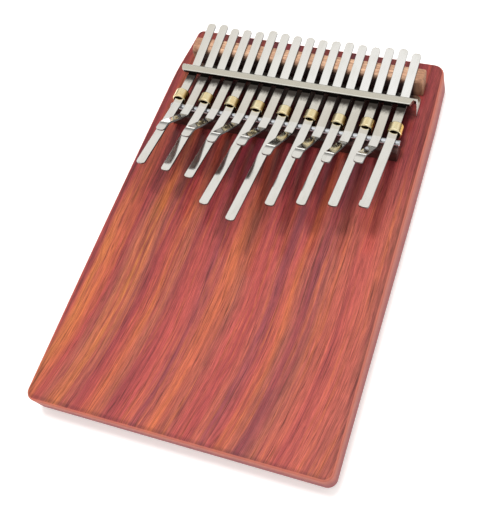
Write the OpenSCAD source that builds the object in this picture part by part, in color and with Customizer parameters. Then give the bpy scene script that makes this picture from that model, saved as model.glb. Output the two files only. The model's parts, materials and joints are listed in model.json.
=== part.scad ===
// Seventeen-note board mbira. Steel tines run over a wooden back bridge, through
// the slots of one bent steel bracket and over a steel rod, and end in free tongues.
// Origin: centre of the board's underside. +X is the player's right, +Y runs from
// the player towards the bridges, and +Z is up. Every name that ends in _y is a
// distance from the board's front edge, and every _z is a height above its underside.

/* [Board] */
// Width of the board, left to right
board_w = 125; // [120:1:140]
// Length of the board, front to back
board_l = 196; // [192:1:215]
// Thickness of the board
board_t = 14.7; // [13:0.1:20]
// Radius of the two front corners seen from above
front_corner = 4; // [3:0.5:12]
// Radius of the two rear corners seen from above
rear_corner = 5; // [3:0.5:12]
// Rounding of the board's top and bottom edges
board_edge = 1; // [0.5:0.25:3]

/* [Tines] */
// Width of one tine
tine_w = 3.9; // [3.4:0.1:4.1]
// Thickness of the tine steel
tine_t = 0.9; // [0.7:0.05:1]
// Distance from one tine's centre to the next
tine_pitch = 6.15; // [6.1:0.05:6.4]
// How far the shortest rear end stands behind the rod
tine_tail = 47.2; // [46:0.1:49]
// Angle in degrees at which all the tines run a little towards the player's left
tine_lean = 0.8; // [0:0.1:1]
// Slope of the straight lower tongues, height over length
tongue_slope = 0.22; // [0.15:0.01:0.25]
// Height that an upper tongue gains in its steep part
upper_lift = 13.2; // [9:0.2:14]
// Length of the flat tip of an upper tongue
upper_tip = 5; // [4:0.5:6]

/* [Bridges] */
// Distance of the rod from the board's front edge
rod_y = 142; // [140:0.5:143]
// Diameter of the bridge rod
rod_d = 3; // [2.5:0.1:3.2]
// Length of the bridge rod
rod_l = 105.6; // [105:0.1:108]
// Length of the wooden strip that carries the rod
strip_l = 104.6; // [104:0.1:108]
// How far the strip stands in front of the rod's centre
strip_front = 3.9; // [3:0.1:4.2]
// How far the strip stands behind the rod's centre
strip_back = 2.9; // [2.6:0.1:3]
// Height of the strip
strip_h = 6.9; // [6.4:0.1:7]
// Length of the wooden back bridge
back_l = 110.2; // [108:0.1:114]
// Width of the back bridge, front to back
back_w = 7.6; // [7:0.1:8.2]
// Height of the back bridge
back_h = 9.5; // [9.2:0.1:9.7]

/* [Bracket] */
// Thickness of the bracket's sheet steel
sheet_t = 1.6; // [1.4:0.1:1.8]
// Length of the bracket
bracket_l = 109.8; // [108:0.2:112]
// Height of the bracket's top face above the board
bracket_h = 10.6; // [10.4:0.1:10.8]
// Depth of the top flange, with the bend
lip_d = 4.2; // [3.6:0.1:5]
// Diameter of a screw head
head_d = 6; // [5:0.2:6.4]

/* [Buzzers] */
// Outer diameter of a buzzer ring
ring_od = 6.5; // [6:0.1:7]
// Inner diameter of a buzzer ring
ring_id = 5; // [4.7:0.1:5.2]
// Length of a buzzer ring
ring_l = 4.9; // [4:0.1:5]

/* [Hidden] */
$fn = 48;

// Counts and numbering: odd tines are long, straight and low, even ones short and raised.
TINES = 17;
MIDDLE = (TINES + 1) / 2;
// How far each tongue reaches in front of the rod, from the left: it sets the note
reaches = [40, 26.5, 41.5, 27.5, 43, 28, 55.5, 27, 61, 29.5, 49.5, 28.5, 46, 28, 43.5, 25.5, 41];
// How many degrees each tongue leans further to the left than its root
leans = [-1.2, -0.4, -0.9, 0.2, 0.5, 1.6, 0.7, 0.5, -0.5, 1.5, -0.5, 1.5, 0, 1.8, 0, 1.2, 0.4];
// How much further back than the shortest each tine's rear end stands: tuning slides it
tail_shifts = [1.1, 1.3, 0, 0.2, 0.1, 1.6, 1, 0.6, 0.6, 0.3, 0.6, 1, 0.5, 0.3, 1, 1.4, 0];
// How far each ring sits behind the first one's place
ring_shifts = [0, 0, 0.2, 0.2, 0, 0.1, 0.1, 0.6, 0.6];
function two_digits(n) = str(n < 10 ? "0" : "", n);
function tongue_name(n) = str("tine_", two_digits(n), "_tongue");
function root_name(n) = str("tine_", two_digits(n), "_root");
function ring_name(n) = str("buzzer_ring_", two_digits(n));
function is_upper(n) = n % 2 == 0;
function tine_x(n) = (n - MIDDLE) * tine_pitch;

// Small distances: between touching pieces, and between a tine's root and its tongue
touch = 0.02;
rod_gap = 0.05;
split_gap = 0.2;
// How far a cutting shape stands out of what it cuts
over = 1;

// Heights of the supports, and the tine's underside over each
top_z = board_t;
strip_top_z = top_z + strip_h;
rod_proud = 0.8;
rod_r = rod_d / 2;
rod_z = strip_top_z + rod_proud;
rest_z = rod_z + rod_r + rod_gap;
bracket_z = top_z + bracket_h;
web_y = 163.8;
web_back_y = web_y + sheet_t;
lip_y = web_back_y - lip_d;
press_z = bracket_z - sheet_t - tine_t - touch;
back_y = 175.4;
back_round = 2.5;
strip_round = 1.6;

// Side line of a tine's root, front to rear, along its underside: the flange presses it
// from the lip to the back of the web
function tail_y(n) = rod_y + tine_tail + tail_shifts[n - 1];
tail_limit = rod_y + tine_tail + max(tail_shifts) + over;
press_margin = 0.1;
back_contact = [back_y + back_round, top_z + back_h + 2 * touch];
root_slope = (rest_z - press_z) / (lip_y - press_margin - rod_y);
tail_slope = (back_contact[1] - press_z) / (back_contact[0] - web_back_y);
root_line = [
    [rod_y - over, rest_z + root_slope * over],
    [lip_y - press_margin, press_z],
    [web_back_y + press_margin, press_z],
    [tail_limit, press_z + tail_slope * (tail_limit - web_back_y)]
];

// Side line of a tongue of a given reach, tip to rod, along its underside
kink = 7;
tip_slope = 0.25;
function lower_line(reach) = [
    [rod_y - reach - over, rest_z + tongue_slope * (reach + over)],
    [rod_y + over, rest_z - tongue_slope * over]
];
function upper_line(reach) = let(
        kink_z = rest_z + tongue_slope * kink,
        shelf_y = rod_y - reach + upper_tip,
        shelf_z = kink_z + upper_lift
    ) [
    [rod_y - reach - over, shelf_z + tip_slope * (upper_tip + over)],
    [shelf_y, shelf_z],
    [rod_y - kink, kink_z],
    [rod_y + over, rest_z - tongue_slope * over]
];

// Bracket: round corners and bends, slots for the tines, and its base flange
bracket_corner = 2.4;
bend_r = 1.2;
lip_round = 0.5;
slot_w = tine_w + 0.5;
slot_below = 0.5;
flange_back_y = 174;
// The lip's right end is ground back, at a slant in degrees
lip_trim = 1.5;
lip_slant = 20;

// Bracket screws stand in these gaps, counted from the left
screw_gaps = [1, 5, 9, 13, 16];
screw_y = 170.2;
screw_r = 1.5;
screw_l = 11;
screw_end_gap = 0.5;
hole_gap = 0.2;
head_h = 2.2;
head_crown = 0.7;
drive_w = 0.9;
drive_depth = 1;

// A buzzer ring hangs by its bore on the two top edges of its tine
first_ring_y = 147.6;
ring_hang = sqrt(pow(ring_id / 2, 2) - pow(tine_w / 2, 2));
ring_tilt = atan(root_slope);
function ring_y(n) = first_ring_y + ring_shifts[(n - 1) / 2];
function ring_z(n) = rest_z + tine_t - root_slope * (ring_y(n) - rod_y) - ring_hang + 2 * touch;

// Moves a shape that is laid out from the front edge into the part's frame
module from_front_edge() {
    translate([0, -board_l / 2, 0]) children();
}

// Extrudes a side view, drawn as Y across and Z up, to a width along X
module along_x(width) {
    translate([-width / 2, 0, 0]) rotate([90, 0, 90]) linear_extrude(width) children();
}

// Rectangle from [x0, y0] to [x1, y1] with round corners
module round_rect(x0, y0, x1, y1, r) {
    translate([x0 + r, y0]) square([x1 - x0 - 2 * r, y1 - y0]);
    translate([x0, y0 + r]) square([x1 - x0, y1 - y0 - 2 * r]);
    for (x = [x0 + r, x1 - r], y = [y0 + r, y1 - r]) translate([x, y]) circle(r);
}

// Rectangle with only its two upper corners round
module round_top(x0, y0, x1, y1, r) {
    translate([x0, y0]) square([x1 - x0, y1 - y0 - r]);
    translate([x0 + r, y0]) square([x1 - x0 - 2 * r, y1 - y0]);
    for (x = [x0 + r, x1 - r]) translate([x, y1 - r]) circle(r);
}

module at_screws() {
    from_front_edge() for (gap = screw_gaps)
        translate([tine_x(gap + 0.5), screw_y, 0]) children();
}

// Board: a plank with round corners and rounded-over edges, and pilot holes for the screws
module board_corner_puck(r) {
    rotate_extrude($fn = 64) intersection() {
        round_rect(-r, 0, r, board_t, board_edge);
        square([r, board_t]);
    }
}

module board_plank() {
    along_x(board_w - 2 * rear_corner) round_rect(0, 0, board_l, board_t, board_edge);
    along_x(board_w - 2 * front_corner) round_rect(0, 0, board_l / 2, board_t, board_edge);
    translate([0, front_corner, 0]) rotate([90, 0, 180])
        linear_extrude(board_l - front_corner - rear_corner)
            round_rect(-board_w / 2, 0, board_w / 2, board_t, board_edge);
    for (side = [-1, 1]) {
        translate([side * (board_w / 2 - front_corner), front_corner, 0])
            board_corner_puck(front_corner);
        translate([side * (board_w / 2 - rear_corner), board_l - rear_corner, 0])
            board_corner_puck(rear_corner);
    }
}

module board() {
    color([0.62, 0.22, 0.16]) difference() {
        from_front_edge() board_plank();
        at_screws() translate([0, 0, top_z + sheet_t - screw_l])
            cylinder(r = screw_r + touch, h = screw_l);
    }
}

// Back bridge: a wooden rail with a rounded top that lifts the rear ends
module back_bridge() {
    color([0.72, 0.5, 0.35]) from_front_edge() along_x(back_l)
        round_top(back_y, top_z, back_y + back_w, top_z + back_h, back_round);
}

// Front bridge: a low hardwood strip with a groove, and the rod that lies in it
module bridge_strip() {
    color([0.3, 0.12, 0.1]) from_front_edge() along_x(strip_l) difference() {
        round_top(rod_y - strip_front, top_z, rod_y + strip_back, strip_top_z, strip_round);
        translate([rod_y, rod_z]) circle(rod_r + touch);
    }
}

module bridge_rod() {
    bevel = 0.3;
    color([0.8, 0.8, 0.82]) from_front_edge() translate([-rod_l / 2, rod_y, rod_z]) rotate([0, 90, 0]) {
        cylinder(r1 = rod_r - bevel, r2 = rod_r, h = bevel);
        translate([0, 0, bevel]) cylinder(r = rod_r, h = rod_l - 2 * bevel);
        translate([0, 0, rod_l - bevel]) cylinder(r1 = rod_r, r2 = rod_r - bevel, h = bevel);
    }
}

// Bracket: one Z-shaped sheet. The base flange is screwed down, the tines pass
// through slots in the web, and the top flange is the bar that holds them down.
module bracket_profile() {
    translate([web_y, top_z]) square([sheet_t, bracket_h - bend_r]);
    translate([web_y, top_z]) square([flange_back_y - web_y, sheet_t]);
    translate([lip_y + lip_round, bracket_z - sheet_t]) square([lip_d - lip_round - bend_r, sheet_t]);
    translate([lip_y, bracket_z - sheet_t]) square([lip_d - bend_r, sheet_t - lip_round]);
    translate([lip_y + lip_round, bracket_z - lip_round]) circle(lip_round);
    translate([web_back_y - bend_r, bracket_z - bend_r]) circle(bend_r);
}

module lip_end_cut() {
    translate([bracket_l / 2 - lip_trim, web_y, bracket_z - sheet_t - over]) rotate([0, 0, -lip_slant])
        translate([0, -2 * lip_d, 0]) cube([lip_d, 2 * lip_d, sheet_t + 2 * over]);
}

module pressure_bracket() {
    color([0.82, 0.81, 0.78]) difference() {
        from_front_edge() intersection() {
            along_x(bracket_l) bracket_profile();
            linear_extrude(bracket_z)
                round_rect(-bracket_l / 2, lip_y, bracket_l / 2, flange_back_y, bracket_corner);
        }
        from_front_edge() for (n = [1 : TINES])
            translate([tine_x(n) - slot_w / 2, web_y - over, press_z - slot_below])
                cube([slot_w, sheet_t + 2 * over, tine_t + touch + slot_below]);
        from_front_edge() lip_end_cut();
        at_screws() translate([0, 0, top_z - over]) cylinder(r = screw_r + hole_gap, h = sheet_t + 2 * over);
    }
}

module bracket_screws() {
    color([0.75, 0.74, 0.72]) at_screws() translate([0, 0, top_z + sheet_t]) {
        translate([0, 0, screw_end_gap - screw_l]) cylinder(r = screw_r, h = screw_l - screw_end_gap);
        difference() {
            union() {
                cylinder(d = head_d, h = head_h - head_crown);
                translate([0, 0, head_h - head_crown])
                    cylinder(d1 = head_d, d2 = head_d - 2 * head_crown, h = head_crown);
            }
            for (turn = [0, 90]) rotate([0, 0, turn])
                translate([-head_d / 4, -drive_w / 2, head_h - drive_depth])
                    cube([head_d / 2, drive_w, drive_depth + over]);
        }
    }
}

// Sheet of the tine's thickness that stands on an underside line running front to rear
function unit(v) = v / norm(v);
function above(v) = [-v[1], v[0]];
function heading(line, i) = unit(line[i + 1] - line[i]);
function mitre(line, i) = let(
        before = above(heading(line, max(i - 1, 0))),
        after = above(heading(line, min(i, len(line) - 2))),
        middle = unit(before + after)
    ) middle / (middle * before);
function upper_side(line) = [for (i = [len(line) - 1 : -1 : 0]) line[i] + tine_t * mitre(line, i)];

module tine_side(line) {
    along_x(tine_w) polygon(concat(line, upper_side(line)));
}

// Plan of a tine between two distances, with its outer end rounded
tine_round = 1.7;
module tine_plan(square_end_y, round_end_y) {
    forward = round_end_y > square_end_y ? 1 : -1;
    length = abs(round_end_y - square_end_y);
    translate([0, square_end_y]) scale([1, forward]) {
        translate([-tine_w / 2, 0]) square([tine_w, length - tine_round]);
        translate([tine_round - tine_w / 2, 0]) square([tine_w - 2 * tine_round, length]);
        for (side = [-1, 1])
            translate([side * (tine_w / 2 - tine_round), length - tine_round]) circle(tine_round);
    }
}

module cut_tine(line, square_end_y, round_end_y) {
    color([0.84, 0.83, 0.8]) intersection() {
        tine_side(line);
        linear_extrude(4 * board_t) tine_plan(square_end_y, round_end_y);
    }
}

// Turns a shape to the left about the upright through a point on its centre line
module lean_about(y, angle) {
    translate([0, y, 0]) rotate([0, 0, -angle]) translate([0, -y, 0]) children();
}

module on_tine(n) {
    from_front_edge() translate([tine_x(n), 0, 0])
        lean_about(web_y + sheet_t / 2, tine_lean) children();
}

// The clamped part of a tine, from its rear end to the rod
module tine_root(n) {
    on_tine(n) cut_tine(root_line, rod_y + split_gap / 2, tail_y(n));
}

// The part in front of the rod, which the thumb plucks
module tine_tongue(n) {
    reach = reaches[n - 1];
    line = is_upper(n) ? upper_line(reach) : lower_line(reach);
    on_tine(n) lean_about(rod_y, leans[n - 1])
        cut_tine(line, rod_y - split_gap / 2, rod_y - reach);
}

// Brass tube that hangs loosely on a lower tine and buzzes
module buzzer_ring(n) {
    color([0.78, 0.62, 0.32]) on_tine(n) translate([0, ring_y(n), ring_z(n)])
        rotate([90 - ring_tilt, 0, 0]) difference() {
            cylinder(d = ring_od, h = ring_l, center = true);
            cylinder(d = ring_id, h = ring_l + over, center = true);
        }
}

board();
back_bridge();
bridge_strip();
bridge_rod();
pressure_bracket();
bracket_screws();
for (n = [1 : TINES]) tine_root(n);
for (n = [1 : TINES]) tine_tongue(n);
for (n = [1 : 2 : TINES]) buzzer_ring(n);
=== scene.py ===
"""Looks of the seventeen-note board mbira: wood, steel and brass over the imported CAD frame."""
import json
import math

import bmesh
import bpy
import numpy as np
from mathutils import Euler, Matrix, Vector, noise


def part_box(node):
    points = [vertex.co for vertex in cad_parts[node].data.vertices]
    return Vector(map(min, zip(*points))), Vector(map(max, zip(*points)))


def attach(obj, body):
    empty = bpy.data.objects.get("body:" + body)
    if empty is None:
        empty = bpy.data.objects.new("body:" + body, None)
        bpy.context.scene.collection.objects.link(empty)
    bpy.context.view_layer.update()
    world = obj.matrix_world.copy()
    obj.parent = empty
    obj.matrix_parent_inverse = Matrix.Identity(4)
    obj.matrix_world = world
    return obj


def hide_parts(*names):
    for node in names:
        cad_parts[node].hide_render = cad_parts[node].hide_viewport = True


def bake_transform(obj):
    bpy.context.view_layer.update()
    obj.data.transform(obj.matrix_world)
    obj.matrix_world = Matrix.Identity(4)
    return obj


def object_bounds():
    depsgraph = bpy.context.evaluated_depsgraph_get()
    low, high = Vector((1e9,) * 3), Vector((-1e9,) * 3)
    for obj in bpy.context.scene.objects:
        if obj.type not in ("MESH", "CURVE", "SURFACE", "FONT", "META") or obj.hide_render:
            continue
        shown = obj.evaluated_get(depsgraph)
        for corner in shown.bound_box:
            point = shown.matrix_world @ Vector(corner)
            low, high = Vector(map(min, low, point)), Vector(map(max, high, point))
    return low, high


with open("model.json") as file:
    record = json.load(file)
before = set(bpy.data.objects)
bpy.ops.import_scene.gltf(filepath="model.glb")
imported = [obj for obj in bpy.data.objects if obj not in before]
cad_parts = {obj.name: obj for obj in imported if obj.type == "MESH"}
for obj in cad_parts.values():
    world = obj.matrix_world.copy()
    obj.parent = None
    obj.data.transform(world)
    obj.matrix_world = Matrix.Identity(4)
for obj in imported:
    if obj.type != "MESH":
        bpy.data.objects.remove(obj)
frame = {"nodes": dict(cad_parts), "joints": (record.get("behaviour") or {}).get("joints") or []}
cad_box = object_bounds()
nodes = frame["nodes"]
joints = {joint["name"]: joint for joint in frame["joints"]}
scene = bpy.context.scene

MM = 0.001
TINES = range(1, 18)
RINGED = range(1, 18, 2)
# The plank's front wall leans out towards its top: how far at the left end, and how much less at the right
FRONT_LEAN = 1.9 * MM
LEAN_FALL = 0.7 * MM


# ---------------------------------------------------------------- camera and studio

# The camera's lens in millimetres, its shift, its place in metres and its turn in degrees
CAMERA_LENS = 59.44
CAMERA_SHIFT = (-0.0293, -0.0352)
CAMERA_PLACE = (0.1032, -0.1678, 0.3133)
CAMERA_TURN = (30.915, 8.378, 18.155)

# The sky: elevation in degrees, brightness, and warmth from 0 for white
SKY_LEVELS = [
    (0, 0.18, 0.02), (16, 0.42, 0.05), (27, 0.86, 0.05), (35, 0.88, 0.05), (46, 0.73, 0.15),
    (54, 0.78, 0.12), (62, 1.02, 0.0), (75, 1.18, 0.0), (90, 1.35, 0),
]
# The brightness that the sky's colours are given as shares of
SKY_PEAK = 1.5
# How much of the green goes with the blue where the sky is warm
GREEN_LOSS = 0.35

# Half the floor's side in metres, and the strength of its glow
FLOOR_HALF = 4
FLOOR_GLOW = 0.3


def make_camera():
    data = bpy.data.cameras.new("camera")
    data.lens = CAMERA_LENS
    data.shift_x, data.shift_y = CAMERA_SHIFT
    camera = bpy.data.objects.new("camera", data)
    camera.location = CAMERA_PLACE
    camera.rotation_euler = Euler([math.radians(angle) for angle in CAMERA_TURN])
    scene.collection.objects.link(camera)
    scene.camera = camera


def make_light(name, place, size, watts):
    """A white disk that lights the origin, and that nothing mirrors."""
    data = bpy.data.lights.new(name, "AREA")
    data.shape = "DISK"
    data.size = size
    data.energy = watts
    light = bpy.data.objects.new(name, data)
    light.location = place
    light.rotation_euler = (-Vector(place)).to_track_quat("-Z", "Y").to_euler()
    light.visible_glossy = False
    scene.collection.objects.link(light)


def make_sky(levels):
    """A dome whose brightness and warmth follow the height above the horizon."""
    world = bpy.data.worlds.new("studio")
    scene.world = world
    world.use_nodes = True
    tree = world.node_tree
    direction = tree.nodes.new("ShaderNodeTexCoord").outputs["Generated"]
    split = tree.nodes.new("ShaderNodeSeparateXYZ")
    tree.links.new(direction, split.inputs[0])
    ramp = tree.nodes.new("ShaderNodeValToRGB")
    tree.links.new(split.outputs["Z"], ramp.inputs[0])
    elements = ramp.color_ramp.elements
    while len(elements) < len(levels):
        elements.new(0.5)
    for element, (elevation, level, warmth) in zip(elements, levels):
        element.position = math.sin(math.radians(elevation))
        level /= SKY_PEAK
        element.color = (level, level * (1 - GREEN_LOSS * warmth), level * (1 - warmth), 1)
    background = tree.nodes["Background"]
    background.inputs["Strength"].default_value = SKY_PEAK
    tree.links.new(ramp.outputs["Color"], background.inputs["Color"])


def make_floor():
    """A wide white floor that glows a little, so that it stays pale."""
    finish = Finish("floor", Base_Color=(0.9, 0.9, 0.9), Roughness=0.9,
                    Emission_Color=(1.0, 1.0, 1.0), Emission_Strength=FLOOR_GLOW)
    half = FLOOR_HALF
    mesh = bpy.data.meshes.new("floor")
    corners = [(-half, -half, 0), (half, -half, 0), (half, half, 0), (-half, half, 0)]
    mesh.from_pydata(corners, [], [(0, 1, 2, 3)])
    mesh.materials.append(finish.material)
    floor = bpy.data.objects.new("floor", mesh)
    scene.collection.objects.link(floor)


# ---------------------------------------------------------------- material helpers

class Finish:
    """One node material. Each helper adds a node and returns the socket that the next one reads.

    x, y and z are the place on the object in millimetres.
    """

    # A Mix node's colour sockets, whose names it shares with its other kinds
    MIX_A = 6
    MIX_B = 7
    MIX_RESULT = 2

    def __init__(self, name, **surface):
        self.material = bpy.data.materials.new(name)
        self.material.use_nodes = True
        self.tree = self.material.node_tree
        self.shader = self.tree.nodes["Principled BSDF"]
        coordinates = self.tree.nodes.new("ShaderNodeTexCoord")
        self.normal = coordinates.outputs["Normal"]
        self.place = self.stretch(coordinates.outputs["Object"], 1 / MM, 1 / MM, 1 / MM)
        self.x, self.y, self.z = self.split(self.place)
        self.colour = None
        self.set(**surface)

    def feed(self, socket, value):
        if isinstance(value, bpy.types.NodeSocket):
            self.tree.links.new(value, socket)
        elif isinstance(value, tuple) and len(value) == 3 and socket.type == "RGBA":
            socket.default_value = (*value, 1)
        else:
            socket.default_value = value

    def set(self, **surface):
        """Sets inputs of the surface shader; an underscore stands for a space."""
        for name, value in surface.items():
            self.feed(self.shader.inputs[name.replace("_", " ")], value)

    def stretch(self, vector, x, y, z):
        node = self.tree.nodes.new("ShaderNodeVectorMath")
        node.operation = "MULTIPLY"
        self.feed(node.inputs[0], vector)
        node.inputs[1].default_value = (x, y, z)
        return node.outputs["Vector"]

    def split(self, vector):
        node = self.tree.nodes.new("ShaderNodeSeparateXYZ")
        self.feed(node.inputs[0], vector)
        return node.outputs["X"], node.outputs["Y"], node.outputs["Z"]

    def join(self, x, y, z):
        node = self.tree.nodes.new("ShaderNodeCombineXYZ")
        for socket, value in zip(node.inputs, (x, y, z)):
            self.feed(socket, value)
        return node.outputs["Vector"]

    def calc(self, operation, a, b=0.0):
        node = self.tree.nodes.new("ShaderNodeMath")
        node.operation = operation
        self.feed(node.inputs[0], a)
        self.feed(node.inputs[1], b)
        return node.outputs[0]

    def add(self, a, b):
        return self.calc("ADD", a, b)

    def times(self, a, b):
        return self.calc("MULTIPLY", a, b)

    def remap(self, value, low, high, to_low=0.0, to_high=1.0):
        """Eases a value from one range to another, and holds it at both ends."""
        node = self.tree.nodes.new("ShaderNodeMapRange")
        node.interpolation_type = "SMOOTHSTEP"
        node.inputs["From Min"].default_value = low
        node.inputs["From Max"].default_value = high
        node.inputs["To Min"].default_value = to_low
        node.inputs["To Max"].default_value = to_high
        self.feed(node.inputs["Value"], value)
        return node.outputs["Result"]

    def noise(self, vector, detail=2.0, roughness=0.5):
        node = self.tree.nodes.new("ShaderNodeTexNoise")
        self.feed(node.inputs["Vector"], vector)
        node.inputs["Scale"].default_value = 1
        node.inputs["Detail"].default_value = detail
        node.inputs["Roughness"].default_value = roughness
        return node.outputs["Fac"]

    def ramp(self, factor, stops):
        """Colour by factor; stops are (position, colour)."""
        node = self.tree.nodes.new("ShaderNodeValToRGB")
        self.feed(node.inputs[0], factor)
        elements = node.color_ramp.elements
        while len(elements) < len(stops):
            elements.new(0.5)
        for element, (position, colour) in zip(elements, stops):
            element.position = position
            element.color = (*colour, 1)
        return node.outputs["Color"]

    def blend(self, factor, a, b, mode="MIX"):
        node = self.tree.nodes.new("ShaderNodeMix")
        node.data_type = "RGBA"
        node.blend_type = mode
        self.feed(node.inputs["Factor"], factor)
        self.feed(node.inputs[self.MIX_A], a)
        self.feed(node.inputs[self.MIX_B], b)
        return node.outputs[self.MIX_RESULT]

    def tint(self, factor, colour, by):
        """Multiplies a colour by another, as far as the factor says."""
        return self.blend(factor, colour, self.blend(1.0, colour, by, "MULTIPLY"))

    def darken(self, colour, shade):
        """Multiplies a colour by a grey."""
        return self.blend(1.0, colour, self.join(shade, shade, shade), "MULTIPLY")

    def bump(self, height, strength, distance):
        """Bump whose full height is the distance, in millimetres."""
        node = self.tree.nodes.new("ShaderNodeBump")
        node.inputs["Strength"].default_value = strength
        node.inputs["Distance"].default_value = distance * MM
        self.feed(node.inputs["Height"], height)
        return node.outputs["Normal"]


# ---------------------------------------------------------------- finishes

PLUM = (0.235, 0.048, 0.062)
WINE = (0.27, 0.044, 0.048)
RED = (0.39, 0.062, 0.058)
ROSE = (0.43, 0.078, 0.066)
SALMON = (0.46, 0.105, 0.070)
BROWN = (0.36, 0.096, 0.066)
ORANGE = (0.53, 0.132, 0.050)
GOLD = (0.55, 0.172, 0.052)

# Main colour bands across the board: distance from its middle in millimetres, and colour
BOARD_BANDS = [
    (-62, WINE), (-60, ROSE), (-57, GOLD), (-53, ORANGE), (-49, RED), (-46, BROWN), (-41, GOLD),
    (-37, BROWN), (-34, WINE), (-31, RED), (-27, ORANGE), (-23, BROWN), (-20, WINE), (-16, RED),
    (-12, ROSE), (-8.5, PLUM), (-5, SALMON), (-1, ORANGE), (4, BROWN), (9, ROSE), (14, RED),
    (17, SALMON), (20, PLUM), (25, ROSE), (28, ORANGE), (31, BROWN), (34, PLUM), (39, BROWN),
    (44, SALMON), (49, ROSE), (56, SALMON), (62, BROWN),
]


def board_finish():
    """Red hardwood with orange streaks along the board, under satin lacquer."""
    f = Finish("board_wood")
    half = cad_box[1].x / MM
    front = cad_box[0].y / MM
    from_front = f.add(f.y, -front)

    # The grain bends sideways over this length from the front, and wanders a little everywhere
    bent_length, bent_by = 65, 7.5
    nearness = f.calc("MAXIMUM", f.times(f.add(from_front, -bent_length), -1 / bent_length), 0)
    bend = f.times(f.times(nearness, nearness), bent_by)
    slow = f.noise(f.stretch(f.place, 0.03, 0.012, 0.06), detail=2)
    ragged = f.noise(f.stretch(f.place, 0.3, 0.05, 0.3), detail=3, roughness=0.6)
    wander = f.add(f.times(f.add(slow, -0.5), 6), f.times(f.add(ragged, -0.5), 2.2))
    across = f.add(f.add(f.x, bend), wander)
    stops = [((place + half) / (2 * half), colour) for place, colour in BOARD_BANDS]
    bands = f.ramp(f.times(f.add(across, half), 1 / (2 * half)), stops)

    grain = f.join(f.add(f.x, f.add(bend, f.times(wander, 0.5))), f.y, f.z)
    patches = f.noise(f.stretch(grain, 0.11, 0.03, 0.11), detail=4, roughness=0.6)
    colour = f.blend(f.remap(patches, 0.4, 0.65, 0.05, 0.4), bands, ROSE)
    streaks = f.noise(f.stretch(grain, 0.42, 0.014, 0.42), detail=5, roughness=0.65)
    colour = f.blend(f.remap(streaks, 0.5, 0.66, 0, 0.5), colour, ORANGE)
    colour = f.blend(f.remap(streaks, 0.49, 0.34, 0, 0.6), colour, WINE)

    # Fine figure: soft threads, crisp fibres, thin growth lines and open pores
    threads = f.noise(f.stretch(grain, 1.2, 0.028, 1.2), detail=4, roughness=0.65)
    fibres = f.noise(f.stretch(grain, 3.4, 0.11, 3.4), detail=4, roughness=0.7)
    growth = f.noise(f.stretch(grain, 0.6, 0.008, 0.6), detail=2, roughness=0.5)
    line = f.calc("ABSOLUTE", f.add(growth, -0.5))
    shade = f.times(f.remap(threads, 0.3, 0.7, 0.80, 1.18), f.remap(fibres, 0.3, 0.7, 0.64, 1.22))
    shade = f.times(shade, f.remap(line, 0.0, 0.020, 0.55, 1.02))
    pores = f.noise(f.stretch(grain, 4.5, 0.2, 4.5), detail=2, roughness=0.4)
    pore = f.remap(pores, 0.63, 0.73)
    shade = f.times(shade, f.remap(pore, 0, 1, 1, 0.7))
    colour = f.darken(colour, shade)

    # Painted shade on the top: darker and redder towards the bridges, and darkest under the tines, where
    # shade falls
    top = f.remap(f.split(f.normal)[2], 0.86, 0.98)
    uneven = f.add(f.times(f.add(patches, -0.5), 30), f.times(f.calc("MAXIMUM", f.x, 0), -0.5))
    far_shade_start, far_shade_full = 72, 125
    far = f.remap(f.add(from_front, uneven), far_shade_start, far_shade_full)
    colour = f.tint(f.times(far, top), colour, (0.60, 0.43, 0.62))
    # Painted shade under the tines, from the front strip to the rear edge, weaker behind the rear bridge
    low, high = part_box("bridge_strip")
    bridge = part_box("back_bridge")[0].y / MM
    shade_under_tines = f.times(f.remap(f.y, low.y / MM - 1, high.y / MM), f.remap(f.y, bridge, bridge + 4, 1, 0.45))
    shade_under_tines = f.times(shade_under_tines, f.remap(f.calc("ABSOLUTE", f.x), high.x / MM + 1, high.x / MM - 4))
    colour = f.tint(f.times(shade_under_tines, top), colour, (0.22, 0.16, 0.2))

    # A dark line just inside the plank's edge
    from_side = f.add(f.times(f.calc("ABSOLUTE", f.x), -1), half)
    from_lip = f.add(f.y, FRONT_LEAN / MM - front)
    from_rear = f.add(f.times(f.y, -1), -front)
    inside = f.calc("MINIMUM", from_side, f.calc("MINIMUM", from_lip, from_rear))
    rim = f.times(f.remap(inside, 0.6, 1.3), f.remap(inside, 3.0, 1.6))
    colour = f.tint(f.times(rim, 0.5), colour, (0.42, 0.45, 0.55))

    # The walls are paler, as if sanded, with a painted highlight of light salmon along the top edge and
    # painted shade, greyer and more purple, below
    sheen_low, sheen_high, wear_and_sheen = 6, 12.5, 0.72
    wall_wear_and_sheen = f.blend(f.remap(f.z, sheen_low, sheen_high), (0.36, 0.12, 0.13), (0.58, 0.19, 0.14))
    colour = f.blend(f.remap(top, 1, 0, 0, wear_and_sheen), colour, wall_wear_and_sheen)

    f.set(Base_Color=colour, Roughness=f.remap(fibres, 0.3, 0.7, 0.38, 0.55))
    f.set(Specular_IOR_Level=f.remap(top, 0, 1, 0.02, 0.1))
    f.set(Coat_Weight=f.remap(top, 0, 1, 0.04, 0.5), Coat_IOR=1.5)
    f.set(Coat_Roughness=f.remap(patches, 0.3, 0.7, 0.14, 0.22))
    f.set(Normal=f.bump(f.add(fibres, f.times(pore, -1.5)), strength=0.35, distance=0.06))
    return f


def rail_wood(name, dark, light, fine, coat=0.0):
    """A small wooden rail whose grain runs along X."""
    f = Finish(name)
    figure = f.noise(f.stretch(f.place, 0.12, 0.9, 0.9), detail=4, roughness=0.65)
    fibres = f.noise(f.stretch(f.place, 0.35, fine, fine), detail=3, roughness=0.6)
    plain = f.blend(f.remap(figure, 0.3, 0.7), dark, light)
    f.colour = f.darken(plain, f.remap(fibres, 0.3, 0.7, 0.72, 1.2))
    f.set(Base_Color=f.colour, Roughness=f.remap(fibres, 0.3, 0.7, 0.45, 0.65), Coat_Weight=coat)
    f.set(Coat_Roughness=0.3, Normal=f.bump(fibres, strength=0.5, distance=0.08))
    return f


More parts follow.
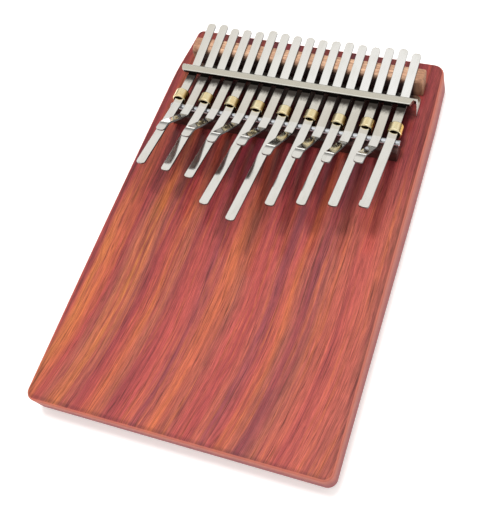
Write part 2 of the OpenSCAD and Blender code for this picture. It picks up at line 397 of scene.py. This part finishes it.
def bridge_finish():
    """Bare light wood with painted shade low on its front, and browner on its sawn ends."""
    f = rail_wood("bridge_wood", (0.42, 0.215, 0.135), (0.76, 0.48, 0.31), 2)
    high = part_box("back_bridge")[1]
    top = high.z / MM
    slant, lit_depth, shaded_depth = 0.55, 3.2, 8.2
    # Painted shade: the front face darkens below the lit top, more towards the front, and less at the ends
    below_lit_top = f.add(f.z, f.times(f.add(f.y, -high.y / MM), slant))
    bridge_painted_shade = f.remap(below_lit_top, top - lit_depth, top - shaded_depth)
    end = f.remap(f.calc("ABSOLUTE", f.x), high.x / MM - 5, high.x / MM - 2)
    bridge_painted_shade = f.times(bridge_painted_shade, f.remap(end, 0, 1, 1, 0.35))
    colour = f.blend(f.times(bridge_painted_shade, 0.96), f.colour, (0.040, 0.014, 0.020))
    sawn = f.noise(f.stretch(f.place, 0.7, 1.8, 0.25), detail=4, roughness=0.6)
    brown = f.blend(f.remap(sawn, 0.35, 0.65), (0.24, 0.105, 0.060), (0.42, 0.205, 0.115))
    f.set(Base_Color=f.blend(f.times(end, 0.8), colour, brown))
    return f


def metal(name, clean, dull, roughness, lines, along):
    """Metal with long lines along one axis, so many to a millimetre, and duller, rougher patches."""
    f = Finish(name, Metallic=1.0)
    drawn_out = 40
    stretches = [lines, lines, lines]
    stretches["XYZ".index(along)] = lines / drawn_out
    scratches = f.noise(f.stretch(f.place, *stretches), detail=3, roughness=0.6)
    patches = f.noise(f.stretch(f.place, 0.35, 0.12, 0.35), detail=3)
    f.colour = f.blend(f.remap(patches, 0.4, 0.75), clean, dull)
    rough = f.add(f.remap(scratches, 0.3, 0.7, roughness * 0.8, roughness * 1.2),
                  f.remap(patches, 0.45, 0.75, 0, roughness * 0.4))
    f.set(Base_Color=f.colour, Roughness=rough)
    f.set(Normal=f.bump(scratches, strength=0.15, distance=0.003))
    return f


def tine_finish():
    """Bright spring steel, with painted shade where it goes in under the bracket."""
    f = metal("tine_steel", (0.86, 0.85, 0.82), (0.81, 0.80, 0.76), 0.09, 6, "Y")
    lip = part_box("pressure_bracket")[0].y / MM
    # Painted shade on the tines just before and under the bracket's lip, with a ragged edge
    uneven = f.noise(f.stretch(f.place, 0.9, 0.5, 0.9), detail=4, roughness=0.7)
    reach = f.add(f.y, f.times(f.add(uneven, -0.5), 4))
    lip_shade_start, lip_shade_full = 7, 3
    dark = f.remap(reach, lip - lip_shade_start, lip - lip_shade_full)
    in_front = f.remap(f.y, lip + 2, lip + 1)
    f.set(Base_Color=f.blend(f.times(f.times(dark, in_front), 0.97), f.colour, (0.035, 0.028, 0.025)))
    return f


def brass_finish():
    """Polished brass, with painted shade: more amber where it turns away from the light above."""
    f = metal("ring_brass", (1.0, 0.90, 0.60), (0.95, 0.76, 0.42), 0.16, 6, "Y")
    shaded_flank = f.remap(f.calc("ABSOLUTE", f.split(f.normal)[0]), 0.35, 0.9)
    f.set(Base_Color=f.blend(shaded_flank, f.colour, (0.62, 0.36, 0.09)))
    return f


# ---------------------------------------------------------------- mesh helpers

def make_piece(name, bm, finish, replaced, body="frame", sharp=35, trims=()):
    """Turns a bmesh in the shared frame into a piece that stands for CAD nodes.

    Each trim is a further finish and a test that says which faces take it. Sharp is the angle in
    degrees from which an edge isn't shaded smooth.
    """
    bmesh.ops.recalc_face_normals(bm, faces=bm.faces)
    for index, (_, takes) in enumerate(trims, 1):
        for face in bm.faces:
            if takes(face):
                face.material_index = index
    mesh = bpy.data.meshes.new(name)
    bm.to_mesh(mesh)
    bm.free()
    mesh.materials.append(finish.material)
    for trim, _ in trims:
        mesh.materials.append(trim.material)
    for face in mesh.polygons:
        face.use_smooth = True
    mesh.set_sharp_from_angle(angle=math.radians(sharp))
    piece = bpy.data.objects.new(name, mesh)
    scene.collection.objects.link(piece)
    weights = piece.modifiers.new("even_normals", "WEIGHTED_NORMAL")
    weights.keep_sharp = True
    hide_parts(*replaced)
    if body:
        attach(piece, body)
    return piece


def loft(bm, rows):
    """Skins equal closed rows of points, and closes both ends."""
    made = [[bm.verts.new(point) for point in row] for row in rows]
    count = len(made[0])
    for near, far in zip(made, made[1:]):
        for i in range(count):
            after = (i + 1) % count
            bm.faces.new((near[i], near[after], far[after], far[i]))
    bm.faces.new(made[0])
    bm.faces.new(made[-1])


def arc(centre, radius, start, stop, steps):
    """Points on an arc in a plane; angles in degrees."""
    angles = [math.radians(start + (stop - start) * i / steps) for i in range(steps + 1)]
    return [(centre[0] + radius * math.cos(a), centre[1] + radius * math.sin(a)) for a in angles]


def round_box(left, bottom, right, top, radii, steps):
    """Outline of a rectangle, anticlockwise, with radii for its corners from bottom left."""
    corners = [(left, bottom, 1, 1, 180), (right, bottom, -1, 1, 270),
               (right, top, -1, -1, 0), (left, top, 1, -1, 90)]
    outline = []
    for (x, y, inward_x, inward_y, start), radius in zip(corners, radii):
        centre = (x + inward_x * radius, y + inward_y * radius)
        outline += arc(centre, radius, start, start + 90, steps)
    return outline


# ---------------------------------------------------------------- tines

TINE_THICK = 0.9 * MM
TINE_EDGE = 0.14 * MM
STATION = 0.6 * MM
# How softly a tine bends where it crosses the rod, where an upper one rises, and elsewhere
ROD_BEND = 8 * MM
RISE_BENDS = [8 * MM, 3 * MM]
CLAMP_BEND = 3 * MM
# A tine's tips are half ellipses: how far each reaches along the tine, and across it
FRONT_TIP = (1.25 * MM, 1.45 * MM)
REAR_TIP = (1.35 * MM, 1.7 * MM)
# The last tine is a little wider on one side at its front
WIDE_TINE = 17
WIDE_REACH = 3.4 * MM
WIDE_STEP = 0.4 * MM
# A tine's sides wander a little along its length
WOBBLE = 0.02 * MM
WOBBLE_LENGTH = 16 * MM
WOBBLE_APART = 3.7


def centre_line(node):
    """Corners along the middle of a tine's underside, front to rear, and its width, from the CAD mesh."""
    mesh = nodes[node].data
    apart = 0.05 * MM
    under = set()
    for face in mesh.polygons:
        if face.normal.z < -0.3:
            under.update(face.vertices)
    points = np.array([mesh.vertices[i].co for i in sorted(under)])
    points = np.unique(points.round(6), axis=0)
    middle = points[:, :2].mean(0)
    flat = points[:, :2] - middle
    along = np.linalg.svd(flat, full_matrices=False)[2][0]
    along = along if along[1] > 0 else -along
    across = np.array((along[1], -along[0]))
    offsets = flat @ across
    middle = middle + across * (offsets.max() + offsets.min()) / 2
    width = offsets.max() - offsets.min()
    stations = sorted(zip((flat @ along).round(6), points[:, 2]))
    corners = []
    for t, z in stations:
        while len(corners) > 1 and straight(corners[-2], corners[-1], (t, z)):
            corners.pop()
        if not corners or t - corners[-1][0] > apart:
            corners.append((t, z))
    return [Vector((*(middle + along * t), z)) for t, z in corners], width


def straight(a, b, c):
    """True if b lies on the line from a to c, to a hundredth of a millimetre."""
    if c[0] - a[0] < 1e-6:
        return True
    on_line = a[1] + (c[1] - a[1]) * (b[0] - a[0]) / (c[0] - a[0])
    return abs(on_line - b[1]) < 0.01 * MM


def rounded_line(corners, radii):
    """The line through the corners with each inner corner rounded."""
    steps = 8
    longest_share = 0.45
    line = [corners[0]]
    for before, corner, after, radius in zip(corners, corners[1:], corners[2:], radii):
        back, ahead = before - corner, after - corner
        turn = math.pi - back.angle(ahead)
        reach = min(radius * math.tan(turn / 2), back.length * longest_share, ahead.length * longest_share)
        start = corner + back.normalized() * reach
        stop = corner + ahead.normalized() * reach
        for i in range(steps + 1):
            t = i / steps
            line.append(start * (1 - t) ** 2 + corner * 2 * t * (1 - t) + stop * t * t)
    return line + [corners[-1]]


def walk(line, distance):
    """The point at a distance along a line, and the heading there."""
    for a, b in zip(line, line[1:]):
        step = (b - a).length
        if distance <= step or b is line[-1]:
            return a + (b - a) * (distance / step), (b - a) / step
        distance -= step


def tip_inset(distance, tip):
    """How far a tine's side stands in from its full width, near a rounded tip."""
    along, across = tip
    short = max(1 - distance / along, 0)
    return across * (1 - math.sqrt(1 - short * short))


def edge_inset(distance):
    """How far the top and bottom stand in at the very end of a tine."""
    short = max(TINE_EDGE - distance, 0)
    return TINE_EDGE - math.sqrt(TINE_EDGE ** 2 - short ** 2)


def tine_stations(line):
    """Distances along a tine: close together at both tips and at its bends, even between them."""
    length = sum((b - a).length for a, b in zip(line, line[1:]))
    front = [TINE_EDGE * (1 - math.cos(math.radians(a))) for a in (0, 30, 60, 90)]
    front += [FRONT_TIP[0] * (1 - math.cos(math.radians(a))) for a in (35, 45, 55, 65, 75, 90)]
    rear = [length - distance for distance in reversed(front)]
    count = round(length / STATION)
    least_step = STATION / 5
    between = [length * i / count for i in range(count)]
    travelled = 0
    for a, b in zip(line, line[1:]):
        travelled += (b - a).length
        between.append(travelled)
    stations = list(front)
    for distance in sorted(between):
        if distance > stations[-1] + least_step and distance < rear[0] - least_step:
            stations.append(distance)
    return stations + rear, length


def is_tine_side(face):
    """True for the narrow faces round a tine's edge."""
    return abs(face.normal.x) > 0.7 or abs(face.normal.z) < 0.3


def is_tine_underside(face):
    return face.normal.z < -0.4


def make_tine(n, finish, side_finish, under_finish):
    name = f"tine_{n:02d}"
    tongue, width = centre_line(f"{name}_tongue")
    root, _ = centre_line(f"{name}_root")
    over_rod = (tongue[-1] + root[0]) / 2
    rises = RISE_BENDS if len(tongue) > 2 else []
    line = rounded_line(tongue[:-1] + [over_rod] + root[1:], rises + [ROD_BEND, CLAMP_BEND, CLAMP_BEND])
    stations, length = tine_stations(line)
    rows = []
    for distance in stations:
        point, heading = walk(line, distance)
        from_rear = length - distance
        wobble = noise.noise(Vector((n * WOBBLE_APART, distance / WOBBLE_LENGTH, 0))) * WOBBLE
        half = width / 2 - tip_inset(distance, FRONT_TIP) - tip_inset(from_rear, REAR_TIP)
        wide = WIDE_STEP if n == WIDE_TINE and TINE_EDGE < distance < WIDE_REACH else 0
        thin = edge_inset(min(distance, from_rear))
        edge = min(TINE_EDGE, TINE_THICK / 2 - thin)
        side = heading.cross(Vector((0, 0, 1))).normalized()
        up = side.cross(heading)
        outline = round_box(-half - wide, thin, half, TINE_THICK - thin, [edge] * 4, 3)
        rows.append([point + side * (c + wobble) + up * u for c, u in outline])
    bm = bmesh.new()
    loft(bm, rows)
    piece = make_piece(name, bm, finish, [f"{name}_root", f"{name}_tongue"],
                       body=None, trims=[(under_finish, is_tine_underside), (side_finish, is_tine_side)])
    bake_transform(piece)


# ---------------------------------------------------------------- wood

# How the plank's outline departs from a true rectangle: its left side bulges, both long sides draw in over
# the last share of the length, and its rear edge turns
LEFT_BULGE = 0.5 * MM
LEFT_TAPER = 2.1 * MM
RIGHT_TAPER = 0.75 * MM
REAR_TURN = 1.3 * MM
TAPER_SHARE = 0.16
# How far behind the front edge the front wall's lean is felt
LEAN_REACH = 30 * MM
# The right wall leans in at its top, and its foot stands out, more and more towards the rear
RIGHT_LEAN = 0.4 * MM
RIGHT_FOOT = 1.0 * MM
RIGHT_RISE = 1.3


def ease(t):
    """Rises smoothly from 0 to 1 as t does, and stays there."""
    t = min(max(t, 0), 1)
    return t * t * (3 - 2 * t)


def off_square(x, y, low, high):
    """Moves a point of a true rectangle onto the plank's outline."""
    share = (y - low.y) / (high.y - low.y)
    taper = ease((share - 1 + TAPER_SHARE) / TAPER_SHARE)
    to_side = x / high.x
    if to_side < 0:
        x += -to_side * (LEFT_TAPER * taper - LEFT_BULGE * math.sin(math.pi * share))
    else:
        x -= to_side * RIGHT_TAPER * taper
    return x, y - (to_side + 1) / 2 * REAR_TURN * share


def cut_up(outline, longest):
    """Adds points to a closed outline until no side is longer than given."""
    result = []
    for a, b in zip(outline, outline[1:] + outline[:1]):
        count = max(math.ceil(math.dist(a, b) / longest), 1)
        for i in range(count):
            result.append((a[0] + (b[0] - a[0]) * i / count, a[1] + (b[1] - a[1]) * i / count))
    return result


def leaned(x, y, z, low, high):
    """Tilts the plank's walls: the front one leans out, and the right one in towards the top."""
    to_right = (x - low.x) / (high.x - low.x)
    to_rear = (y - low.y) / (high.y - low.y)
    height = (z - low.z) / (high.z - low.z)
    near_front = ease(1 - (y - low.y) / LEAN_REACH)
    near_right = ease(2 * to_right - 1)
    foot = RIGHT_FOOT * ease(to_rear * RIGHT_RISE) * (1 - height)
    y -= (FRONT_LEAN - LEAN_FALL * to_right) * near_front * height
    x += near_right * (foot - RIGHT_LEAN * height)
    return x, y


def make_board(finish):
    """The plank: round corners, a crisp top edge and a softer bottom edge."""
    low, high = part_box("board")
    top_edge, bottom_edge = 1.1 * MM, 3 * MM
    front, rear_right, rear_left = 4 * MM, 5 * MM, 3 * MM
    least = 0.2 * MM
    longest = 5 * MM
    corner_steps, edge_steps = 12, 6
    radii = [front, front, rear_right, rear_left]
    flat = cut_up(round_box(low.x, low.y, high.x, high.y, radii, corner_steps), longest)

    def outline(inset, z):
        """The plank's outline, drawn in towards its middle by the inset."""
        row = []
        for x, y in flat:
            radius = front if y < 0 else rear_right if x > 0 else rear_left
            core = Vector((min(max(x, low.x + radius), high.x - radius),
                           min(max(y, low.y + radius), high.y - radius)))
            outward = Vector((x, y)) - core
            shrunk = core + outward * (max(radius - inset, least) / radius)
            x, y = off_square(shrunk.x, shrunk.y, low, high)
            row.append((*leaned(x, y, z, low, high), z))
        return row

    turns = [math.radians(90 * i / edge_steps) for i in range(edge_steps + 1)]
    rows = []
    for turn in turns:
        inset = bottom_edge * (1 - math.sin(turn))
        rows.append(outline(inset, low.z + bottom_edge * (1 - math.cos(turn))))
    for turn in turns:
        inset = top_edge * (1 - math.cos(turn))
        rows.append(outline(inset, high.z - top_edge * (1 - math.sin(turn))))
    bm = bmesh.new()
    loft(bm, rows)
    make_piece("board_plank", bm, finish, ["board"], sharp=60)


def make_rail(name, node, finish, front_radius, rear_radius, end_edge):
    """A rail along X with a rounded top and softened ends."""
    low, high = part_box(node)
    end_steps, corner_steps = 5, 6
    foot = 0.15 * MM
    radii = [foot, foot, rear_radius, front_radius]
    turns = [math.radians(90 * i / end_steps) for i in range(end_steps + 1)]
    ends = [(end_edge * (1 - math.cos(turn)), end_edge * (1 - math.sin(turn))) for turn in turns]
    places = [(low.x + shift, inset) for shift, inset in ends]
    places += [(high.x - shift, inset) for shift, inset in reversed(ends)]
    rows = []
    for x, inset in places:
        flat = round_box(low.y + inset, low.z, high.y - inset, high.z - inset, radii, corner_steps)
        rows.append([(x, y, z) for y, z in flat])
    bm = bmesh.new()
    loft(bm, rows)
    make_piece(name, bm, finish, [node])


# ---------------------------------------------------------------- metal parts

def revolve(bm, centre, axis, profile, segments, closed):
    """Turns a profile of (distance along the axis, radius) round the axis."""
    axis = Vector(axis).normalized()
    side = axis.orthogonal().normalized()
    other = axis.cross(side)
    rows = []
    for along, radius in profile:
        row = []
        for i in range(segments):
            a = 2 * math.pi * i / segments
            row.append(centre + axis * along + (side * math.cos(a) + other * math.sin(a)) * radius)
        rows.append([bm.verts.new(p) for p in row])
    pairs = list(zip(rows, rows[1:]))
    if closed:
        pairs.append((rows[-1], rows[0]))
    for near, far in pairs:
        for i in range(segments):
            after = (i + 1) % segments
            bm.faces.new((near[i], near[after], far[after], far[i]))
    if not closed:
        bm.faces.new(rows[0])
        bm.faces.new(rows[-1])


def make_rod(finish):
    """The front bridge's rod, with rounded ends."""
    low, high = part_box("bridge_rod")
    radius = (high.z - low.z) / 2
    half = (high.x - low.x) / 2
    bevel = 0.45 * MM
    left = []
    for turn in (90, 67.5, 45, 22.5, 0):
        angle = math.radians(turn)
        left.append((-half + bevel * (1 - math.sin(angle)), radius - bevel * (1 - math.cos(angle))))
    right = [(-along, r) for along, r in reversed(left)]
    bm = bmesh.new()
    revolve(bm, (low + high) / 2, (1, 0, 0), left + right, 48, closed=False)
    make_piece("rod", bm, finish, ["bridge_rod"])


# A ring's wall, half its length, and how far its inner and outer edges are rounded
RING_WALL = 0.75 * MM
RING_HALF = 2.45 * MM
RING_INNER_EDGE = 0.14 * MM
RING_OUTER_EDGE = 0.55 * MM
# The rings stand further off centre from tine to tine, away from this one
RING_CENTRED = 11
RING_STEP = 0.05 * MM


def ring_shift(n):
    """How far a ring stands to the right of its tine's middle, or to the left where negative.

    On tines 1 to 7, 15 and 17 this is too much: the bore cuts up to 0.33 mm into the tine's top corner.
    """
    return (n - RING_CENTRED) * RING_STEP


def make_ring(n, finish, bore_shade_finish):
    node = f"buzzer_ring_{n:02d}"
    low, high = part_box(node)
    middle = (low + high) / 2 + Vector((ring_shift(n), 0, 0))
    axis = Vector(joints[f"ring_slide_{n:02d}"]["axis"])
    outer = (high.x - low.x) / 2
    radii = [RING_INNER_EDGE, RING_INNER_EDGE, RING_OUTER_EDGE, RING_OUTER_EDGE]
    section = round_box(-RING_HALF, outer - RING_WALL, RING_HALF, outer, radii, 5)
    bm = bmesh.new()
    revolve(bm, middle, axis, section, 64, closed=True)

    def is_bore(face):
        """True for the faces that look at the ring's axis."""
        centre = face.calc_center_median() - middle
        centre -= axis * centre.dot(axis)
        return centre.dot(face.normal) < -0.6 * centre.length

    make_piece(f"ring_{n:02d}", bm, finish, [node], body=f"ring_{n:02d}",
               trims=[(bore_shade_finish, is_bore)])


def bevelled(node, width):
    """A bmesh of a CAD node with its flat faces whole again and its sharp edges broken."""
    merge = 0.002 * MM
    sharp = math.radians(35)
    bm = bmesh.new()
    bm.from_mesh(nodes[node].data)
    bmesh.ops.remove_doubles(bm, verts=bm.verts, dist=merge)
    bmesh.ops.dissolve_limit(bm, angle_limit=math.radians(1), verts=bm.verts, edges=bm.edges)
    edges = [edge for edge in bm.edges if len(edge.link_faces) == 2 and edge.calc_face_angle() > sharp]
    bmesh.ops.bevel(bm, geom=edges, offset=width, segments=2, profile=0.5,
                    affect="EDGES", clamp_overlap=True)
    return bm


def make_bracket(finish, lip_shade_finish, end_highlight_finish):
    """The CAD bracket with its edges broken; the lip's front edge has painted shade, and the sheared ends
    are rough and painted lighter as a highlight.
    """
    low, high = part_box("pressure_bracket")
    skin = 0.5 * MM

    def is_lip_front(face):
        return face.normal.y < -0.85 and face.calc_center_median().y < low.y + skin

    def is_end(face):
        return abs(face.normal.x) > 0.6 and abs(face.calc_center_median().x) > high.x - skin

    make_piece("bracket", bevelled("pressure_bracket", 0.22 * MM), finish,
               ["pressure_bracket"], trims=[(lip_shade_finish, is_lip_front), (end_highlight_finish, is_end)])


def make_screws(finish):
    """The five screws, as one piece."""
    make_piece("screws", bevelled("bracket_screws", 0.12 * MM), finish, ["bracket_screws"])


# ---------------------------------------------------------------- the scene

make_camera()
scene.view_settings.view_transform = "Standard"
make_sky(SKY_LEVELS)
make_light("key", place=(-0.17, 0.10, 1.5), size=0.36, watts=12.5)
make_floor()

board_wood = board_finish()
bridge_wood = bridge_finish()
strip_wood = rail_wood("strip_wood", (0.035, 0.010, 0.008), (0.10, 0.025, 0.020), 3, coat=0.3)
tine_steel = tine_finish()
# The tines' narrow sides and undersides are darker copies of their steel, as painted shade
tine_side_shaded_steel = metal("tine_side_shaded_steel", (0.26, 0.26, 0.27), (0.18, 0.18, 0.18), 0.3, 6, "Y")
tine_under_shaded_steel = metal("tine_under_shaded_steel", (0.34, 0.33, 0.32), (0.24, 0.23, 0.22), 0.45, 6, "Y")
rod_steel = metal("rod_steel", (0.62, 0.64, 0.68), (0.50, 0.52, 0.56), 0.13, 6, "X")
bracket_steel = metal("bracket_steel", (0.74, 0.73, 0.67), (0.70, 0.69, 0.63), 0.16, 5, "X")
# Painted shade on the lip's front face, and a painted highlight on the sheared ends, which are also rough
bracket_front_shaded_steel = metal("bracket_front_shaded_steel", (0.08, 0.075, 0.07), (0.05, 0.045, 0.045), 0.3, 5, "X")
bracket_end_lit_steel = metal("bracket_end_lit_steel", (0.9, 0.9, 0.89), (0.8, 0.8, 0.79), 0.65, 5, "Z")
screw_steel = metal("screw_steel", (0.42, 0.41, 0.40), (0.30, 0.29, 0.28), 0.2, 4, "X")
ring_brass = brass_finish()
# The rings' bores are painted dark, as painted shade inside them
ring_bore_shaded_brass = metal("ring_bore_shaded_brass", (0.16, 0.10, 0.04), (0.10, 0.06, 0.025), 0.4, 6, "Y")

make_board(board_wood)
make_rail("rear_bridge", "back_bridge", bridge_wood,
          front_radius=2.5 * MM, rear_radius=0.9 * MM, end_edge=0.8 * MM)
make_rail("front_strip", "bridge_strip", strip_wood,
          front_radius=1.6 * MM, rear_radius=1.6 * MM, end_edge=0.4 * MM)
make_rod(rod_steel)
make_bracket(bracket_steel, bracket_front_shaded_steel, bracket_end_lit_steel)
make_screws(screw_steel)
for n in TINES:
    make_tine(n, tine_steel, tine_side_shaded_steel, tine_under_shaded_steel)
for n in RINGED:
    make_ring(n, ring_brass, ring_bore_shaded_brass)
